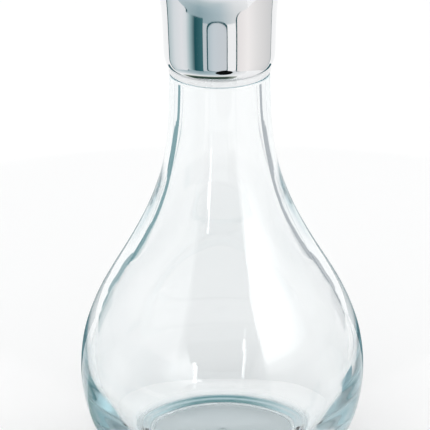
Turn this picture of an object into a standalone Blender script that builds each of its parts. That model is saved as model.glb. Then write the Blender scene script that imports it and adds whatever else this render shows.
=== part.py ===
"""A glass wasp trap: a thick-walled, droplet-shaped bottle under a polished steel funnel cap.

Wasps crawl down the flared mouth, through the narrow throat and into the baited bottle. The cap
lifts straight off the neck to fill and empty it. Every piece is turned about the bottle's axis,
the Z axis. The bottle stands on Z = 0.
"""

import math

import bpy
import numpy as np

MM = 0.001

# Driving dimensions, in millimetres.
FACETS = 36  # flats round every turned piece
GAP = 0.3  # clearance between pieces that touch

SHOULDER_HEIGHT = 162.5  # step in the neck that carries the cap
NECK_RADIUS = 18.1  # bottle outside, at the shoulder
BORE_RADIUS = 13.4  # bottle inside, at the shoulder
FINISH_RADIUS = 16.0  # reduced end of the neck, hidden in the cap
FINISH_BORE = 13.2
FINISH_LENGTH = 17.0
FLOOR_HEIGHT = 11.0  # top of the thick glass floor
FLOOR_RADIUS = 30.5  # flat part of that floor
FOOT_OUTER = 38.8  # ring that the bottle stands on
FOOT_INNER = 34.0
PUNT_DEPTH = 2.2  # hollow under the foot ring

SHEET = 0.8  # steel sheet of the cap
THROAT_RADIUS = 6.0  # middle of the funnel's sheet, at its narrowest
BEVEL_HEIGHT = 5.0  # the collar's foot is drawn in along a quarter of an ellipse
BEVEL_DEPTH = 2.02
WALL_FOOT = 8.0  # the collar's wall starts here, above its bevel
WALL_RADIUS = 19.62  # middle of the collar's sheet there
WALL_TAPER = 0.03
FLARE_START = 15.4  # the wall curves outwards from here up, with the cube of the height
FLARE_RATE = 0.00025
LIP_HEIGHT = 44.9  # flared edge of the collar
HEM_RADIUS = SHEET + GAP  # the funnel's hem wraps the collar's edge at this radius

SEAT_HEIGHT = 2.3  # gasket between the glass shoulder and the collar
SEAT_RADIUS = 18.35
SKIRT_HEIGHT = SEAT_HEIGHT + 2 * GAP  # underside of the collar
LINER_RADIUS = 18.85
LINER_BORE = 16.4
LINER_FOOT = 7.2
SEAL_SECTION = 0.75  # radius of a neck seal's cord
SEAL_HEIGHTS = {"neck_seal_lower": 9.8, "neck_seal_upper": 14.0}
GROOVE_DEPTH = 1.7
GROOVE_HALF = 1.1
RIM_GASKET_THICKNESS = 1.5
WEB_THICKNESS = 2.4  # liner's disc over the bottle's rim
LOCK_RING_RADIUS = 10.0
LOCK_RING_HEIGHT = 2.0


def clear_scene():
    for obj in list(bpy.data.objects):
        bpy.data.objects.remove(obj)


def smooth_curve(points, steps):
    """Points along a smooth curve through the given (radius, height) points, steps to a span."""
    given = np.array(points, float)
    along = np.concatenate([[0], np.cumsum(np.linalg.norm(np.diff(given, axis=0), axis=1))])
    slopes = np.gradient(given, along, axis=0)
    curve = []
    for i in range(len(given) - 1):
        span = along[i + 1] - along[i]
        for t in np.arange(steps) / steps:
            curve.append(
                (1 + 2 * t) * (1 - t) ** 2 * given[i]
                + t * (1 - t) ** 2 * span * slopes[i]
                + t * t * (3 - 2 * t) * given[i + 1]
                + t * t * (t - 1) * span * slopes[i + 1]
            )
    curve.append(given[-1])
    return [tuple(point) for point in curve]


def arc(centre, radius, start, end, steps):
    """Points of a circular arc in the section, with angles in degrees from the outward direction."""
    angles = np.radians(np.linspace(start, end, steps + 1))
    return [(centre[0] + radius * math.cos(a), centre[1] + radius * math.sin(a)) for a in angles]


def collar_radius(height):
    """Middle radius of the collar's wall: a slight taper that ends in a trumpet flare."""
    flare = FLARE_RATE * max(0.0, height - FLARE_START) ** 3
    return WALL_RADIUS + WALL_TAPER * (height - WALL_FOOT) + flare


def sheet_section(middle, thickness):
    """Closed outline of a bent sheet whose middle line is given, going up its inner side first."""
    line = np.array(middle, float)
    along = np.gradient(line, axis=0)
    along /= np.linalg.norm(along, axis=1)[:, None]
    across = np.stack([along[:, 1], -along[:, 0]], axis=1) * thickness / 2
    return [tuple(p) for p in line - across] + [tuple(p) for p in (line + across)[::-1]]


def ring_section(inner, outer, low, high, chamfer):
    """Closed outline of a flat ring with small chamfers at its outer corners."""
    return [
        (inner, low),
        (inner, high),
        (outer - chamfer, high),
        (outer, high - chamfer),
        (outer, low + chamfer),
        (outer - chamfer, low),
    ]


def material(name, colour, roughness, metallic=0.0, transmission=0.0):
    made = bpy.data.materials.new(name)
    made.use_nodes = True
    shader = made.node_tree.nodes["Principled BSDF"]
    shader.inputs["Base Color"].default_value = (*colour, 1.0)
    shader.inputs["Roughness"].default_value = roughness
    shader.inputs["Metallic"].default_value = metallic
    shader.inputs["Transmission Weight"].default_value = transmission
    return made


def turned(name, outline, finish, parent=None, closed=True):
    """An object turned about Z from an outline of (radius, height) points in millimetres.

    The outline runs up the inner side of the piece and down its outer side. An open outline
    starts and ends on the axis.
    """
    mesh = bpy.data.meshes.new(name)
    points = [(radius * MM, 0.0, height * MM) for radius, height in outline]
    edges = [(i, i + 1) for i in range(len(points) - 1)]
    if closed:
        edges.append((len(points) - 1, 0))
    mesh.from_pydata(points, edges, [])
    mesh.materials.append(finish)
    piece = bpy.data.objects.new(name, mesh)
    bpy.context.scene.collection.objects.link(piece)
    piece.parent = parent
    screw = piece.modifiers.new("Turn", "SCREW")
    screw.axis = "Z"
    screw.angle = 2 * math.pi
    screw.steps = FACETS
    screw.render_steps = FACETS
    screw.use_merge_vertices = True
    screw.merge_threshold = 0.00001
    screw.use_smooth_shade = True
    return piece


def glass_bottle(finish):
    """The bottle: thick walls, a heavy floor and a reduced neck end that the cap slides over."""
    inner_wall = smooth_curve(
        [
            (33.0, 12.0),
            (37.0, 15.4),
            (42.4, 23.0),
            (46.6, 33.4),
            (48.9, 45.0),
            (47.7, 58.0),
            (41.0, 74.0),
            (31.2, 90.0),
            (23.4, 106.0),
            (17.8, 124.0),
            (14.1, 144.0),
            (BORE_RADIUS, SHOULDER_HEIGHT),
        ],
        2,
    )
    outer_wall = smooth_curve(
        [
            (NECK_RADIUS, SHOULDER_HEIGHT - 0.5),
            (18.8, 144.0),
            (21.8, 124.0),
            (28.4, 106.0),
            (36.9, 90.0),
            (46.0, 74.0),
            (52.1, 58.0),
            (53.8, 42.0),
            (51.6, 27.0),
            (46.9, 16.0),
            (42.8, 8.4),
            (40.2, 3.4),
            (FOOT_OUTER + 0.7, 1.0),
        ],
        2,
    )
    rim = SHOULDER_HEIGHT + FINISH_LENGTH
    outline = [(0.0, FLOOR_HEIGHT), (FLOOR_RADIUS, FLOOR_HEIGHT)]
    outline += inner_wall
    outline += [
        (FINISH_BORE, rim - 1.2),
        (FINISH_BORE + 0.9, rim),
        (FINISH_RADIUS - 0.9, rim),
        (FINISH_RADIUS, rim - 0.9),
        (FINISH_RADIUS, SHOULDER_HEIGHT),
        (NECK_RADIUS - 0.5, SHOULDER_HEIGHT),
    ]
    outline += outer_wall
    outline += [(FOOT_OUTER, 0.0), (FOOT_INNER, 0.0), (FOOT_INNER - 3.0, PUNT_DEPTH * 0.75)]
    outline += [(0.0, PUNT_DEPTH)]
    return turned("glass_bottle", outline, finish, closed=False)


def collar_shell(finish, cap):
    """The polished outer sleeve: a turned-in foot, a bevel, a nearly straight wall and a flare."""
    foot = SKIRT_HEIGHT + SHEET / 2
    middle = [(17.2, foot), (17.8, foot)]
    for turn in np.radians(np.linspace(66, 11, 6)):
        radius = WALL_RADIUS - BEVEL_DEPTH * (1.0 - math.cos(turn))
        middle.append((radius, WALL_FOOT - BEVEL_HEIGHT * math.sin(turn)))
    steps = np.linspace(0, 1, 16) ** 1.3
    middle += [(collar_radius(z), z) for z in WALL_FOOT + (LIP_HEIGHT - WALL_FOOT) * steps]
    turned("collar_shell", sheet_section(middle, SHEET), finish, cap)


def entry_funnel(finish, cap):
    """The funnel: a throat tube, a swept cone and a hem that wraps the collar's flared edge."""
    middle = [(THROAT_RADIUS, 8.0), (THROAT_RADIUS, 15.0)]
    middle += smooth_curve(
        [
            (THROAT_RADIUS, 20.5),
            (6.9, 24.2),
            (9.9, 28.6),
            (14.6, 33.4),
            (20.0, 38.8),
            (24.4, 43.1),
        ],
        2,
    )
    middle += arc((collar_radius(LIP_HEIGHT), LIP_HEIGHT), HEM_RADIUS, 150, -50, 8)
    turned("entry_funnel", sheet_section(middle, SHEET), finish, cap)


def collar_liner(finish, cap):
    """The moulded sleeve that fills the collar, holds the seals and rests on the bottle's rim."""
    underside = FINISH_LENGTH + 2 * GAP + RIM_GASKET_THICKNESS
    outline = [(LINER_BORE, LINER_FOOT)]
    for height in sorted(SEAL_HEIGHTS.values()):
        outline += [
            (LINER_BORE, height - GROOVE_HALF),
            (LINER_BORE + GROOVE_DEPTH, height - GROOVE_HALF),
            (LINER_BORE + GROOVE_DEPTH, height + GROOVE_HALF),
            (LINER_BORE, height + GROOVE_HALF),
        ]
    outline += [
        (LINER_BORE, underside),
        (THROAT_RADIUS + SHEET / 2 + GAP, underside),
        (THROAT_RADIUS + SHEET / 2 + GAP, underside + WEB_THICKNESS - 1.0),
        (THROAT_RADIUS + SHEET / 2 + GAP + 1.0, underside + WEB_THICKNESS),
        (LINER_RADIUS - 1.0, underside + WEB_THICKNESS),
        (LINER_RADIUS, underside + WEB_THICKNESS - 1.0),
        (LINER_RADIUS, LINER_FOOT),
    ]
    turned("collar_liner", outline, finish, cap)


def cap_rings(silicone, gasket, steel, cap):
    """The rings of the cap: the seat and rim gaskets, the funnel's lock ring and the neck seals."""
    seat = ring_section(LINER_BORE, SEAT_RADIUS, GAP, GAP + SEAT_HEIGHT, 0.35)
    turned("seat_gasket", seat, gasket, cap)

    rim = FINISH_LENGTH + GAP
    rim_ring = ring_section(
        FINISH_BORE + 0.4, FINISH_RADIUS, rim, rim + RIM_GASKET_THICKNESS, 0.3
    )
    turned("rim_gasket", rim_ring, silicone, cap)

    lock_top = rim + RIM_GASKET_THICKNESS
    lock_ring = ring_section(
        THROAT_RADIUS + SHEET / 2 + GAP,
        LOCK_RING_RADIUS,
        lock_top - LOCK_RING_HEIGHT,
        lock_top,
        0.4,
    )
    turned("funnel_lock_ring", lock_ring, steel, cap)

    for name, height in SEAL_HEIGHTS.items():
        centre = (FINISH_RADIUS + GAP + SEAL_SECTION, height)
        turned(name, arc(centre, SEAL_SECTION, 180, -135, 7), silicone, cap)


def main():
    clear_scene()
    glass = material("clear_glass", (0.93, 0.98, 0.98), 0.02, transmission=1.0)
    polished = material("polished_steel", (0.86, 0.87, 0.88), 0.06, metallic=1.0)
    plain_steel = material("plain_steel", (0.62, 0.63, 0.65), 0.35, metallic=1.0)
    moulding = material("grey_moulding", (0.10, 0.105, 0.11), 0.45)
    black_silicone = material("black_silicone", (0.03, 0.03, 0.032), 0.55)
    clear_silicone = material("clear_silicone", (0.86, 0.89, 0.91), 0.30)

    glass_bottle(glass)
    cap = bpy.data.objects.new("cap", None)
    cap.location = (0.0, 0.0, SHOULDER_HEIGHT * MM)
    bpy.context.scene.collection.objects.link(cap)
    collar_shell(polished, cap)
    entry_funnel(polished, cap)
    collar_liner(moulding, cap)
    cap_rings(black_silicone, clear_silicone, plain_steel, cap)


main()
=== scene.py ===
"""Looks of the glass wasp trap: clear thick glass, a mirror-polished steel cap and a pale studio.

Every piece is turned about Z from the section of its CAD node, with its corners rounded and its
curves made fine.
"""

import math

import bpy
import numpy as np
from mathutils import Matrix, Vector, noise


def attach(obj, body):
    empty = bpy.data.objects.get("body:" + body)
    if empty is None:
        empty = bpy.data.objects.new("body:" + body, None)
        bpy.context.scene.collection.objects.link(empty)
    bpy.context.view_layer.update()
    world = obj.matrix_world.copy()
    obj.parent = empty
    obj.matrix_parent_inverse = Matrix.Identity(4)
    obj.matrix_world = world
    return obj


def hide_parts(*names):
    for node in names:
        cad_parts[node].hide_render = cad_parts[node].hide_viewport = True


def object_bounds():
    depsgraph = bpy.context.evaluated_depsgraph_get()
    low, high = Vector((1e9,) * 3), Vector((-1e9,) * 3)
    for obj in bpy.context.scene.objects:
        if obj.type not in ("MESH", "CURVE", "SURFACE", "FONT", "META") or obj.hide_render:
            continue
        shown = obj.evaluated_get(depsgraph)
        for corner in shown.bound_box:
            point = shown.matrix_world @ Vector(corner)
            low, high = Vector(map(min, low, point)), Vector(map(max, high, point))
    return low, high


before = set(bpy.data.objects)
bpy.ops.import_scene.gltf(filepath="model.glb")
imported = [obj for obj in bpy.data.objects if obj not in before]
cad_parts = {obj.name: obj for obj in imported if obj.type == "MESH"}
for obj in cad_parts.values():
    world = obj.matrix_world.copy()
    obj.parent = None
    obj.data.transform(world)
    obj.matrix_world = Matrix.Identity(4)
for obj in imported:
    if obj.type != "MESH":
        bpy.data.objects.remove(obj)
cad_box = [list(corner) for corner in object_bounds()]

MM = 0.001
LOW, HIGH = (Vector(corner) for corner in cad_box)
HEIGHT = HIGH.z - LOW.z

# Camera: its place round the trap, and where the trap's axis falls in the picture.
CAMERA_DISTANCE = 0.8
CAMERA_ELEVATION = math.radians(24.5)
CAMERA_ROLL = math.radians(-0.55)
AIM_HEIGHT = 0.505 * HEIGHT
AIM_ASIDE = -0.0022
LENS = 181.0

DARK_TEAL = (0.015, 0.085, 0.10)
WHITE = (1.0, 1.0, 1.0)

# The unevenness of the glass, in metres: how far its walls swell, how far they are moved in so
# that they stay inside the bottle's width, between which heights, and over what height it fades.
WALL_SWELL = 0.00010
WALL_INSET = 0.00006
SWELL_LOW, SWELL_HIGH = 0.012, 0.165
SWELL_FADE_LOW, SWELL_FADE_HIGH = 0.01, 0.05
# How fine it is, to the side and up.
SWELL_ACROSS, SWELL_UP = 38, 26

# Heights between which the scuffs on the glass foot fade out, and how rough they are.
SCUFF_LOW, SCUFF_HIGH = 0.003, 0.010
SCUFF_ROUGHNESS = 0.45

# How far the seat gasket is stretched at each end to touch the glass and the collar.
GASKET_STRETCH = 0.27 * MM

# Whether a studio light shows in what mirrors it, and through the glass.
BOTH = (True, True)
MIRRORED = (True, False)
THROUGH = (False, True)

# Studio lights, in metres: how high the boards reach, how far a dark edge stands behind its
# panel, how high the mats lie, and how far from the axis the lamps, dim front and flags stand.
BOARD_TOP = 0.12
EDGE_GAP = 0.0015
MAT_LIFT = 0.0006
LAMP_DISTANCE = 0.6
FRONT_DISTANCE = 0.62
FLAG_DISTANCE = 0.40

SKY_STRENGTH = 1.13
HORIZON = (0.68, 0.69, 0.70)

# Light is turned back many times between the walls of the glass before it leaves.
BOUNCES = 32


# ---------------------------------------------------------------- sections and turned pieces


def meridian(node):
    """The section of a turned CAD node at +X: ordered (radius, height) points, and if it closes."""
    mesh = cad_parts[node].data
    places = {}
    for vertex in mesh.vertices:
        if abs(vertex.co.y) < 2e-6 and vertex.co.x > -2e-6:
            places[vertex.index] = (round(vertex.co.x, 6), round(vertex.co.z, 6))
    links = {}
    for edge in mesh.edges:
        a, b = (places.get(i) for i in edge.vertices)
        if a is not None and b is not None and a != b:
            links.setdefault(a, set()).add(b)
            links.setdefault(b, set()).add(a)
    ends = sorted((p for p, near in links.items() if len(near) == 1), key=lambda p: -p[1])
    path = [ends[0] if ends else min(links)]
    while True:
        onward = [point for point in sorted(links[path[-1]]) if point not in path[-2:]]
        if not onward or onward[0] == path[0]:
            break
        path.append(onward[0])
    if ends:
        # A flat disc at the axis has no point in its middle.
        path = [(0.0, path[0][1])] * (path[0][0] > 0) + path
        path = path + [(0.0, path[-1][1])] * (path[-1][0] > 0)
    return np.array(path), not ends


def turns_at(points, closed):
    """Angle by which the outline turns at each point, in degrees."""
    back = points - np.roll(points, 1, axis=0)
    ahead = np.roll(points, -1, axis=0) - points
    angle = np.arctan2(ahead[:, 1], ahead[:, 0]) - np.arctan2(back[:, 1], back[:, 0])
    angle = np.abs((angle + math.pi) % (2 * math.pi) - math.pi)
    if not closed:
        angle[[0, -1]] = math.pi
    return np.degrees(angle)


def smooth_run(points, spacing):
    """Evenly spaced points on a smooth curve through a run of points with no corner in it."""
    along = np.concatenate([[0], np.cumsum(np.linalg.norm(np.diff(points, axis=0), axis=1))])
    count = max(2, int(math.ceil(along[-1] / spacing)))
    at = np.linspace(0, along[-1], count + 1)
    if len(points) == 2:
        return points[0] + (points[1] - points[0]) * (at / along[-1])[:, None]
    slopes = np.gradient(points, along, axis=0, edge_order=2)
    i = np.clip(np.searchsorted(along, at, side="right") - 1, 0, len(points) - 2)
    span = (along[i + 1] - along[i])[:, None]
    t = (at - along[i])[:, None] / span
    return (
        (1 + 2 * t) * (1 - t) ** 2 * points[i]
        + t * (1 - t) ** 2 * span * slopes[i]
        + t * t * (3 - 2 * t) * points[i + 1]
        + t * t * (t - 1) * span * slopes[i + 1]
    )


def trimmed(run, start, end):
    """The run with a length taken off each end."""
    along = np.concatenate([[0], np.cumsum(np.linalg.norm(np.diff(run, axis=0), axis=1))])
    inside = (along > start) & (along < along[-1] - end)
    at = np.concatenate([[start], along[inside], [along[-1] - end]])
    return np.stack([np.interp(at, along, run[:, k]) for k in (0, 1)], axis=1)


def fine_outline(points, closed, spacing, round_off, corner):
    """The outline with smooth curves between its corners and each corner rounded off.

    A corner is a point where the outline turns by more than the angle corner, in degrees.
    """
    turns = turns_at(points, closed)
    corners = [i for i in range(len(points)) if turns[i] > corner]
    if not corners:
        loop = np.concatenate([points[-3:], points, points[:3]])
        dense = smooth_run(loop, spacing)
        first = np.argmin(np.linalg.norm(dense[: len(dense) // 2] - points[0], axis=1))
        last = len(dense) // 2 + np.argmin(
            np.linalg.norm(dense[len(dense) // 2 :] - points[0], axis=1)
        )
        return dense[first:last]
    runs = []
    pairs = list(zip(corners, corners[1:] + ([corners[0] + len(points)] if closed else [])))
    for start, end in pairs:
        run = points[[i % len(points) for i in range(start, end + 1)]]
        length = np.linalg.norm(np.diff(run, axis=0), axis=1).sum()
        cut = min(round_off, 0.4 * length)
        at_start = closed or start != corners[0]
        at_end = closed or end != corners[-1]
        dense = smooth_run(run, spacing)
        runs.append((run[0], trimmed(dense, cut * at_start, cut * at_end), run[-1]))
    outline = [runs[0][1]]
    for (_, before, point), (_, after, _) in zip(runs, runs[1:] + runs[:1] * closed):
        t = np.linspace(0, 1, 8)[1:-1, None]
        bend = (1 - t) ** 2 * before[-1] + 2 * t * (1 - t) * point + t * t * after[0]
        outline += [bend, after]
    if closed:
        outline = outline[:-1]
    return np.concatenate(outline)


def turned(node, around, spacing, round_off, shape, corner):
    """A fine turned mesh object from a CAD node's section. shape may move its points."""
    points, closed = meridian(node)
    outline = fine_outline(points, closed, spacing, round_off, corner)
    on_axis = outline[:, 0] < 1e-7
    angles = 2 * math.pi * np.arange(around) / around
    rows = []
    vertices = []
    for (radius, height), pole in zip(outline, on_axis):
        if pole:
            rows.append([len(vertices)] * around)
            vertices.append((0.0, 0.0, height))
            continue
        rows.append(list(range(len(vertices), len(vertices) + around)))
        vertices += [(radius * math.cos(a), radius * math.sin(a), height) for a in angles]
    faces = []
    count = len(rows)
    for i in range(count if closed else count - 1):
        low, high = rows[i], rows[(i + 1) % count]
        for j in range(around):
            k = (j + 1) % around
            ring = [low[j], high[j], high[k], low[k]]
            faces.append([v for n, v in enumerate(ring) if v != ring[n - 1]])
    vertices = np.array(vertices)
    if shape is not None:
        vertices = shape(vertices)
    mesh = bpy.data.meshes.new(node + "_fine")
    mesh.from_pydata(vertices.tolist(), [], faces)
    mesh.validate()
    volume = sum(
        mesh.vertices[p.vertices[0]].co.dot(p.normal) * p.area for p in mesh.polygons
    )
    if volume < 0:
        mesh.flip_normals()
    mesh.shade_smooth()
    piece = bpy.data.objects.new(node + "_fine", mesh)
    bpy.context.scene.collection.objects.link(piece)
    return piece


# ---------------------------------------------------------------- materials


def new_material(name):
    made = bpy.data.materials.new(name)
    made.use_nodes = True
    return made, made.node_tree, made.node_tree.nodes["Principled BSDF"]


def object_noise(tree, scale, detail, stretch=(1.0, 1.0, 1.0)):
    """Noise in the object's own coordinates, stretched along some axes."""
    place = tree.nodes.new("ShaderNodeTexCoord")
    sized = tree.nodes.new("ShaderNodeMapping")
    sized.inputs["Scale"].default_value = stretch
    tree.links.new(place.outputs["Object"], sized.inputs["Vector"])
    made = tree.nodes.new("ShaderNodeTexNoise")
    made.inputs["Scale"].default_value = scale
    made.inputs["Detail"].default_value = detail
    tree.links.new(sized.outputs["Vector"], made.inputs["Vector"])
    return made.outputs["Fac"]


def height_in(tree, space):
    """The height in a texture space: Object, or Generated, which runs from 0 to 1."""
    place = tree.nodes.new("ShaderNodeTexCoord")
    split = tree.nodes.new("ShaderNodeSeparateXYZ")
    tree.links.new(place.outputs[space], split.inputs["Vector"])
    return split.outputs["Z"]


def ranged(tree, value, low, high, out_low, out_high):
    """The value taken from one range to another."""
    node = tree.nodes.new("ShaderNodeMapRange")
    for name, number in zip(
        ("From Min", "From Max", "To Min", "To Max"), (low, high, out_low, out_high)
    ):
        node.inputs[name].default_value = number
    tree.links.new(value, node.inputs["Value"])
    return node.outputs["Result"]


def bump(tree, shader, height, strength, distance):
    node = tree.nodes.new("ShaderNodeBump")
    node.inputs["Strength"].default_value = strength
    node.inputs["Distance"].default_value = distance
    tree.links.new(height, node.inputs["Height"])
    tree.links.new(node.outputs["Normal"], shader.inputs["Normal"])


def mixed_colour(tree, value, colours):
    """A colour ramp over the value."""
    ramp = tree.nodes.new("ShaderNodeValToRGB")
    ramp.color_ramp.elements[0].color = (*colours[0], 1)
    ramp.color_ramp.elements[1].color = (*colours[1], 1)
    tree.links.new(value, ramp.inputs["Fac"])
    return ramp.outputs["Color"]


def clear_glass():
    """Thick glass, blue-green where light goes a long way through it, with a scuffed foot."""
    made, tree, shader = new_material("clear_glass_fine")
    shader.inputs["Transmission Weight"].default_value = 1.0
    shader.inputs["IOR"].default_value = 1.5
    shader.inputs["Base Color"].default_value = (1.0, 1.0, 1.0, 1.0)
    film = ranged(tree, object_noise(tree, 45.0, 3.0), 0.45, 0.75, 0.0, 0.02)
    height = height_in(tree, "Object")
    scuffed = ranged(tree, height, SCUFF_LOW, SCUFF_HIGH, SCUFF_ROUGHNESS, 0.0)
    rough = tree.nodes.new("ShaderNodeMath")
    rough.operation = "MAXIMUM"
    tree.links.new(film, rough.inputs[0])
    tree.links.new(scuffed, rough.inputs[1])
    tree.links.new(rough.outputs["Value"], shader.inputs["Roughness"])
    bump(tree, shader, object_noise(tree, 28.0, 1.0, (1.0, 1.0, 0.6)), 0.10, 0.0006)
    tint = tree.nodes.new("ShaderNodeVolumeAbsorption")
    tint.inputs["Color"].default_value = (0.50, 0.72, 0.77, 1.0)
    tint.inputs["Density"].default_value = 10.0
    output = tree.nodes["Material Output"]
    tree.links.new(tint.outputs["Volume"], output.inputs["Volume"])
    return made


def polished_steel():
    made, tree, shader = new_material("polished_steel_fine")
    shader.inputs["Metallic"].default_value = 1.0
    tone = object_noise(tree, 14.0, 2.0)
    tree.links.new(
        mixed_colour(tree, tone, [(0.80, 0.81, 0.825), (0.86, 0.865, 0.87)]),
        shader.inputs["Base Color"],
    )
    haze = object_noise(tree, 60.0, 4.0, (1.0, 1.0, 3.0))
    tree.links.new(ranged(tree, haze, 0.3, 0.8, 0.03, 0.07), shader.inputs["Roughness"])
    bump(tree, shader, object_noise(tree, 900.0, 2.0, (1.0, 1.0, 0.2)), 0.02, 0.00005)
    return made


def plain_steel():
    made, tree, shader = new_material("plain_steel_fine")
    shader.inputs["Metallic"].default_value = 1.0
    rings = object_noise(tree, 700.0, 3.0, (0.15, 0.15, 1.0))
    tree.links.new(
        mixed_colour(tree, rings, [(0.52, 0.53, 0.55), (0.70, 0.71, 0.72)]),
        shader.inputs["Base Color"],
    )
    tree.links.new(ranged(tree, rings, 0.3, 0.7, 0.25, 0.42), shader.inputs["Roughness"])
    bump(tree, shader, rings, 0.15, 0.0001)
    return made


def moulded_plastic():
    made, tree, shader = new_material("grey_moulding_fine")
    grain = object_noise(tree, 1400.0, 3.0)
    tone = object_noise(tree, 50.0, 3.0)
    tree.links.new(
        mixed_colour(tree, tone, [(0.085, 0.09, 0.095), (0.12, 0.125, 0.13)]),
        shader.inputs["Base Color"],
    )
    tree.links.new(ranged(tree, grain, 0.3, 0.7, 0.38, 0.52), shader.inputs["Roughness"])
    bump(tree, shader, grain, 0.2, 0.0001)
    return made


def black_silicone():
    made, tree, shader = new_material("black_silicone_fine")
    dust = object_noise(tree, 400.0, 4.0)
    tree.links.new(
        mixed_colour(tree, dust, [(0.022, 0.022, 0.024), (0.045, 0.045, 0.047)]),
        shader.inputs["Base Color"],
    )
    tree.links.new(ranged(tree, dust, 0.3, 0.7, 0.45, 0.62), shader.inputs["Roughness"])
    bump(tree, shader, dust, 0.15, 0.0001)
    return made


def clear_silicone():
    """Milky silicone, with painted blue-grey shade along the thin edge that rests on the glass,
    standing for the contact shadow line where the gasket meets the glass.
    """
    made, tree, shader = new_material("clear_silicone_fine")
    cloud = object_noise(tree, 180.0, 3.0)
    # Painted shade: towards its lower edge the gasket is mixed to blue-grey, the contact shadow
    # where it rests on the glass.
    edge = tree.nodes.new("ShaderNodeMix")
    edge.data_type = "RGBA"
    # This blue-grey is painted shade, not the silicone's own colour.
    edge.inputs["A"].default_value = (0.30, 0.50, 0.58, 1.0)
    unshaded_share = ranged(tree, height_in(tree, "Generated"), 0.05, 0.16, 0.0, 1.0)
    tree.links.new(unshaded_share, edge.inputs["Factor"])
    colours = [(0.93, 0.95, 0.96), (0.97, 0.98, 0.98)]
    tree.links.new(mixed_colour(tree, cloud, colours), edge.inputs["B"])
    tree.links.new(edge.outputs["Result"], shader.inputs["Base Color"])
    shader.inputs["Transmission Weight"].default_value = 0.15
    shader.inputs["IOR"].default_value = 1.41
    tree.links.new(ranged(tree, cloud, 0.3, 0.7, 0.22, 0.36), shader.inputs["Roughness"])
    bump(tree, shader, cloud, 0.1, 0.0001)
    return made


# ---------------------------------------------------------------- the trap's pieces


def hand_blown(vertices):
    """Slight unevenness of the glass in its bulb and shoulder."""
    moved = vertices.copy()
    for n, (x, y, z) in enumerate(vertices):
        radius = math.hypot(x, y)
        fade = min((SWELL_HIGH - z) / SWELL_FADE_HIGH, (z - SWELL_LOW) / SWELL_FADE_LOW, 1.0)
        if radius < 1e-4 or fade < 0.0:
            continue
        fade = fade * fade * (3.0 - 2.0 * fade)
        swell = noise.noise(Vector((x * SWELL_ACROSS, y * SWELL_ACROSS, z * SWELL_UP)))
        shift = fade * (WALL_SWELL * swell - WALL_INSET)
        moved[n, 0] += x / radius * shift
        moved[n, 1] += y / radius * shift
    return moved


def squeezed(vertices):
    """The seat gasket touches the glass and the collar, with no gap to either."""
    moved = vertices.copy()
    low, high = vertices[:, 2].min(), vertices[:, 2].max()
    share = (vertices[:, 2] - low) / (high - low)
    moved[:, 2] += (2.0 * share - 1.0) * GASKET_STRETCH
    return moved


def finish_piece(piece, body, node, material):
    piece.data.materials.clear()
    piece.data.materials.append(material)
    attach(piece, body)
    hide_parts(node)


def build_trap():
    steel = polished_steel()
    rubber = black_silicone()
    # Node, body, slot, material, points around, spacing and rounding in mm, and shape.
    pieces = [
        ("glass_bottle", "bottle", "clear_glass", clear_glass(), 288, 1.5, 0.9, hand_blown),
        ("collar_shell", "cap", "polished_steel", steel, 192, 0.5, 0.3, None),
        ("entry_funnel", "cap", "polished_steel", steel, 192, 0.5, 0.3, None),
        ("collar_liner", "cap", "grey_moulding", moulded_plastic(), 128, 0.8, 0.25, None),
        ("funnel_lock_ring", "cap", "plain_steel", plain_steel(), 96, 0.6, 0.2, None),
        ("seat_gasket", "cap", "clear_silicone", clear_silicone(), 160, 0.4, 0.25, squeezed),
        ("rim_gasket", "cap", "black_silicone", rubber, 96, 0.6, 0.2, None),
        ("neck_seal_lower", "cap", "black_silicone", rubber, 128, 0.2, 0.2, None),
        ("neck_seal_upper", "cap", "black_silicone", rubber, 128, 0.2, 0.2, None),
    ]
    for node, body, slot, material, around, spacing, round_off, shape in pieces:
        corner = 60.0 if node.startswith("neck_seal") else 22.0
        piece = turned(node, around, spacing * MM, round_off * MM, shape, corner)
        finish_piece(piece, body, node, material)


# ---------------------------------------------------------------- studio


def emitter(name):
    """Light of the colour that the panel's own colour attribute gives."""
    made = bpy.data.materials.new(name)
    made.use_nodes = True
    tree = made.node_tree
    tree.nodes.remove(tree.nodes["Principled BSDF"])
    light = tree.nodes.new("ShaderNodeEmission")
    glow = tree.nodes.new("ShaderNodeAttribute")
    glow.attribute_name = "glow"
    tree.links.new(glow.outputs["Color"], light.inputs["Color"])
    tree.links.new(light.outputs["Emission"], tree.nodes["Material Output"].inputs["Surface"])
    return made


def light_mesh(name, vertices, faces, glows, shows):
    """A studio light that the camera doesn't see, with a colour and strength at each vertex."""
    mesh = bpy.data.meshes.new(name)
    mesh.from_pydata(vertices, [], faces)
    colours = mesh.color_attributes.new("glow", "FLOAT_COLOR", "POINT")
    for n, glow in enumerate(glows):
        colours.data[n].color = (*glow, 1.0)
    mesh.materials.append(emitter(name))
    light = bpy.data.objects.new(name, mesh)
    bpy.context.scene.collection.objects.link(light)
    light.visible_camera = False
    light.visible_diffuse = False
    light.visible_shadow = False
    light.visible_glossy, light.visible_transmission = shows


def grey(level):
    return (level, level, level)


def place_round(turn, distance, height):
    """A point at a turn, in degrees round from the camera, and a distance from the axis."""
    a = math.radians(turn)
    return (distance * math.sin(a), -distance * math.cos(a), height)


def colour_at(turn, turns, colours):
    """The colour at a turn, between the colours that go with turns."""
    return [np.interp(turn, turns, [colour[k] for colour in colours]) for k in range(3)]


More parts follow.
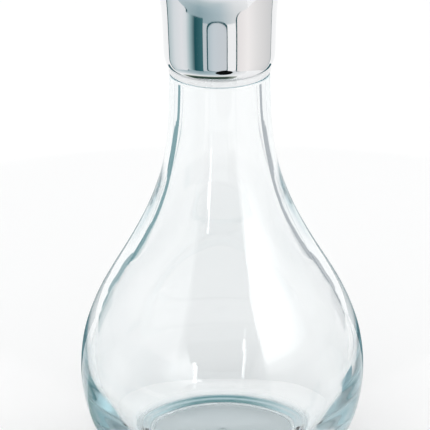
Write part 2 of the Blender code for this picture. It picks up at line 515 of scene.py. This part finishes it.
def panel(name, turns, distances, low, high, glows, corner=(0.0, 0.0), soft=0.0, shows=BOTH):
    """A panel standing round the trap, with a column of points at each degree.

    turns are degrees round from the camera, and distances and glows go with them, as low does
    where it is a tuple. corner is how far, in degrees and metres, its lower corners are rounded.
    Over the height soft, where it isn't zero, the glow fades down to plain white.
    """
    width, rise = corner
    lows = low if isinstance(low, tuple) else (low,) * len(turns)
    at = np.arange(turns[0], turns[-1] + 0.01, 1.0)
    vertices = []
    colours = []
    for turn in at:
        reach = min(turn - turns[0], turns[-1] - turn)
        inside = 1.0 - min(reach / width, 1.0) if width else 0.0
        foot = np.interp(turn, turns, lows) + rise * (1.0 - math.sqrt(1.0 - inside * inside))
        distance = np.interp(turn, turns, distances)
        glow = colour_at(turn, turns, glows)
        vertices += [place_round(turn, distance, z) for z in (foot, foot + soft, high)]
        colours += [WHITE if soft else glow, glow, glow]
    faces = [
        (3 * i + k, 3 * i + k + 1, 3 * i + k + 4, 3 * i + k + 3)
        for i in range(len(at) - 1)
        for k in range(0 if soft else 1, 2)
    ]
    light_mesh(name, vertices, faces, colours, shows)


def outlined_panel(name, turns, distances, low, high, glows, corner, line, edge=0.0016):
    """A mirrored panel with a thin dark edge: a larger, darker one stands just behind it."""
    panel(name, turns, distances, low, high, glows, corner, shows=MIRRORED)
    wide = [turns[0] - line] + list(turns[1:-1]) + [turns[-1] + line]
    behind = [d + EDGE_GAP for d in distances]
    dark = [DARK_TEAL] * len(turns)
    corner = (corner[0] + line, corner[1])
    panel(name + "_edge", wide, behind, low - edge, high, dark, corner, shows=MIRRORED)


def mat(name, turns, reaches, glows, shows):
    """A flat ring sector lying just over the floor.

    reaches are its rings' distances from the axis. glows has a row for each, with a colour for
    each turn.
    """
    at = np.arange(turns[0], turns[-1] + 0.01, 2.0)
    vertices = []
    colours = []
    for row, reach in zip(glows, reaches):
        for turn in at:
            vertices.append(place_round(turn, reach, MAT_LIFT))
            colours.append(colour_at(turn, turns, row))
    n = len(at)
    faces = [
        (r * n + i, r * n + i + 1, r * n + n + i + 1, r * n + n + i)
        for r in range(len(reaches) - 1)
        for i in range(n - 1)
    ]
    light_mesh(name, vertices, faces, colours, shows)


def oval(name, turn, distance, height, half_turn, half_height, glow):
    """A small mirrored oval facing the trap."""
    around = 32
    vertices = []
    for k in range(around):
        t = 2 * math.pi * k / around
        across = turn + half_turn * math.cos(t)
        vertices.append(place_round(across, distance, height + half_height * math.sin(t)))
    light_mesh(name, vertices, [tuple(range(around))], [glow] * around, MIRRORED)


def build_floor():
    made, tree, shader = new_material("studio_floor")
    grain = object_noise(tree, 3.0, 2.0)
    tree.links.new(
        mixed_colour(tree, grain, [(0.90, 0.90, 0.90), (0.92, 0.92, 0.92)]),
        shader.inputs["Base Color"],
    )
    shader.inputs["Roughness"].default_value = 0.8
    reach = 3.0
    mesh = bpy.data.meshes.new("studio_floor")
    corners = [(-reach, -reach, 0), (reach, -reach, 0), (reach, reach, 0), (-reach, reach, 0)]
    mesh.from_pydata(corners, [], [(0, 1, 2, 3)])
    mesh.materials.append(made)
    floor = bpy.data.objects.new("studio_floor", mesh)
    bpy.context.scene.collection.objects.link(floor)


def build_reflected_lights():
    """What the glass mirrors: a softbox on the right, a lamp on the left, a dim front."""
    panel(
        "softbox_right",
        (36, 56, 84),
        (0.45, 0.45, 0.45),
        0.10,
        0.80,
        [grey(5.5), grey(4.8), grey(1.4)],
        soft=0.20,
    )
    lamp = (LAMP_DISTANCE, LAMP_DISTANCE)
    panel("strip_low", (-23.4, -21.4), lamp, 0.04, 0.09, [grey(2.5), grey(2.5)])
    panel("strip_high", (-24.2, -20.8), lamp, 0.11, 0.24, [grey(9.0), grey(9.0)])
    front = (FRONT_DISTANCE, FRONT_DISTANCE)
    for name, dim, shows in (
        ("front_dim", (0.12, 0.13, 0.135), MIRRORED),
        ("front_grey", (0.22, 0.25, 0.26), THROUGH),
    ):
        panel(name, (-38, 35), front, 0.02, 1.5, [dim, dim], shows=shows)


def build_flags():
    """Dark flags that draw the lines along the edges of the thick glass.

    Each span has the turns of its ends, its lower edge at each of them and its upper edge.
    """
    spans = {
        "low": ((125, 136), (0.0, 0.0), 0.075),
        "mid": ((136, 140), (0.020, 0.020), 0.085),
        "high": ((140, 143, 146), (0.034, 0.028, 0.055), 0.12),
    }
    for side, glow in ((-1, (0.14, 0.30, 0.33)), (1, (0.40, 0.43, 0.46))):
        for name, (turns, lows, high) in spans.items():
            ends = tuple(side * turn for turn in turns)[::side]
            panel(
                f"flag_{name}_{side + 1}",
                ends,
                [FLAG_DISTANCE] * len(ends),
                lows[::side],
                high,
                [glow] * len(ends),
                shows=THROUGH,
            )
    mat("flag_near", (99, 117), (0.075, 0.118), [[(0.15, 0.32, 0.38)] * 2] * 2, THROUGH)
    over = (0.12, 0.28, 0.31)
    panel("flag_over", (150, 210), (0.2, 0.2), 0.30, 0.60, [over, over], shows=THROUGH)
    outline = (0.06, 0.14, 0.16)
    mat("flag_back", (134, 226), (0.06, 0.32), [[outline, outline]] * 2, MIRRORED)
    oval("flag_oval", 7.5, 0.05, 0.148, 15.0, 0.0075, (0.004, 0.005, 0.005))


def build_boards():
    """Boards low round the trap, which the polished cap mirrors."""
    outlined_panel(
        "board_left",
        (-121, -100, -80, -70),
        (0.235, 0.25, 0.27, 0.275),
        0.0,
        BOARD_TOP,
        [(0.50, 0.60, 0.62), (0.78, 0.82, 0.84), (0.86, 0.87, 0.89), (0.78, 0.82, 0.84)],
        (8.0, 0.01),
        3.0,
    )
    panel(
        "board_dark",
        (-70, -60, -50, -33),
        (0.26, 0.26, 0.26, 0.26),
        0.030,
        BOARD_TOP,
        [(0.78, 0.82, 0.84), (0.36, 0.50, 0.52), DARK_TEAL, (0.05, 0.16, 0.18)],
        shows=MIRRORED,
    )
    outlined_panel(
        "board_middle",
        (-23, -12, 14),
        (0.27, 0.27, 0.27),
        0.036,
        BOARD_TOP,
        [(0.50, 0.60, 0.64), (0.64, 0.70, 0.74), (0.66, 0.69, 0.72)],
        (18.0, 0.022),
        2.4,
        0.006,
    )
    outlined_panel(
        "board_right",
        (35, 58, 80, 100, 124),
        (0.275, 0.265, 0.24, 0.22, 0.19),
        0.0,
        BOARD_TOP,
        [
            (0.90, 0.86, 0.85),
            (1.02, 0.98, 0.965),
            (0.88, 0.86, 0.85),
            (0.80, 0.785, 0.78),
            (0.70, 0.70, 0.70),
        ],
        (14.0, 0.03),
        2.4,
    )


def build_mats():
    """Mats on the floor: the lower cap mirrors those round the foot, the glass shows the rest."""
    far_rows = [
        [
            (0.60, 0.68, 0.70),
            (0.50, 0.60, 0.63),
            (0.29, 0.41, 0.45),
            (0.46, 0.56, 0.60),
            (0.74, 0.77, 0.78),
            (0.92, 0.92, 0.92),
        ]
    ] * 2
    mat(
        "mat",
        (-125, -90, -42, 0, 30, 60),
        (0.165, 0.20, 0.235, 0.275, 0.34),
        [
            [WHITE, WHITE, (0.92, 0.94, 0.95), (0.95, 0.96, 0.97), WHITE, WHITE],
            [
                (0.78, 0.84, 0.86),
                (0.74, 0.80, 0.83),
                (0.50, 0.60, 0.62),
                (0.56, 0.65, 0.68),
                (0.86, 0.88, 0.89),
                WHITE,
            ],
            [
                (0.60, 0.68, 0.70),
                (0.55, 0.64, 0.67),
                (0.34, 0.46, 0.50),
                (0.50, 0.60, 0.64),
                (0.80, 0.82, 0.83),
                (0.95, 0.95, 0.95),
            ],
        ]
        + far_rows,
        MIRRORED,
    )
    gap_grey = (0.58, 0.64, 0.67)
    mat("mat_gap", (-45, -15), (0.341, 0.46), [[gap_grey, gap_grey]] * 2, MIRRORED)
    olive = (0.03, 0.06, 0.045)
    mat(
        "mat_dark",
        (-115, -90, 20, 45),
        (0.055, 0.062, 0.13, 0.155),
        [
            [WHITE, (0.5, 0.56, 0.5), (0.5, 0.56, 0.5), WHITE],
            [(0.4, 0.45, 0.4), olive, olive, (0.4, 0.45, 0.4)],
            [(0.4, 0.45, 0.4), olive, olive, (0.4, 0.45, 0.4)],
            [WHITE, (0.5, 0.56, 0.5), (0.5, 0.56, 0.5), WHITE],
        ],
        MIRRORED,
    )
    mat("mat_under", (-180, 180), (0.001, 0.033), [[(0.54, 0.60, 0.62)] * 2] * 2, THROUGH)
    mat(
        "mat_foot",
        (-180, 180),
        (0.040, 0.050, 0.060),
        [[grey(level)] * 2 for level in (0.98, 0.94, 0.89)],
        THROUGH,
    )
    dark = (0.07, 0.22, 0.24)
    half = (0.42, 0.58, 0.62)
    pale = (0.56, 0.63, 0.65)
    mat(
        "mat_ring",
        (90, 130, 160, 200, 230, 270),
        (0.0335, 0.035, 0.0365, 0.038, 0.0395),
        [
            [pale, half, dark, dark, half, pale],
            [pale, half, dark, dark, half, pale],
            [pale, pale, half, half, pale, pale],
            [pale, half, dark, dark, half, pale],
            [pale, pale, half, half, pale, pale],
        ],
        BOTH,
    )


def build_studio():
    build_floor()
    build_reflected_lights()
    build_flags()
    build_boards()
    build_mats()
    world = bpy.data.worlds.new("studio_light")
    bpy.context.scene.world = world
    world.use_nodes = True
    tree = world.node_tree
    back = tree.nodes["Background"]
    back.inputs["Strength"].default_value = SKY_STRENGTH
    rise = ranged(tree, height_in(tree, "Generated"), 0.02, 0.35, 0.0, 1.0)
    tree.links.new(mixed_colour(tree, rise, [HORIZON, WHITE]), back.inputs["Color"])


def build_camera():
    data = bpy.data.cameras.new("camera")
    data.lens = LENS
    data.sensor_width = 36.0
    data.clip_end = 20.0
    camera = bpy.data.objects.new("camera", data)
    bpy.context.scene.collection.objects.link(camera)
    aim = Vector((AIM_ASIDE, 0.0, LOW.z + AIM_HEIGHT))
    back = Vector((0.0, -math.cos(CAMERA_ELEVATION), math.sin(CAMERA_ELEVATION)))
    camera.location = aim + back * CAMERA_DISTANCE
    facing = (-back).to_track_quat("-Z", "Y").to_matrix().to_4x4()
    facing.translation = camera.location
    camera.matrix_world = facing
    camera.rotation_euler.rotate_axis("Z", CAMERA_ROLL)
    bpy.context.scene.camera = camera


build_trap()
build_studio()
build_camera()
scene = bpy.context.scene
scene.view_settings.view_transform = "Standard"
scene.cycles.max_bounces = BOUNCES
scene.cycles.transmission_bounces = BOUNCES
scene.cycles.glossy_bounces = BOUNCES
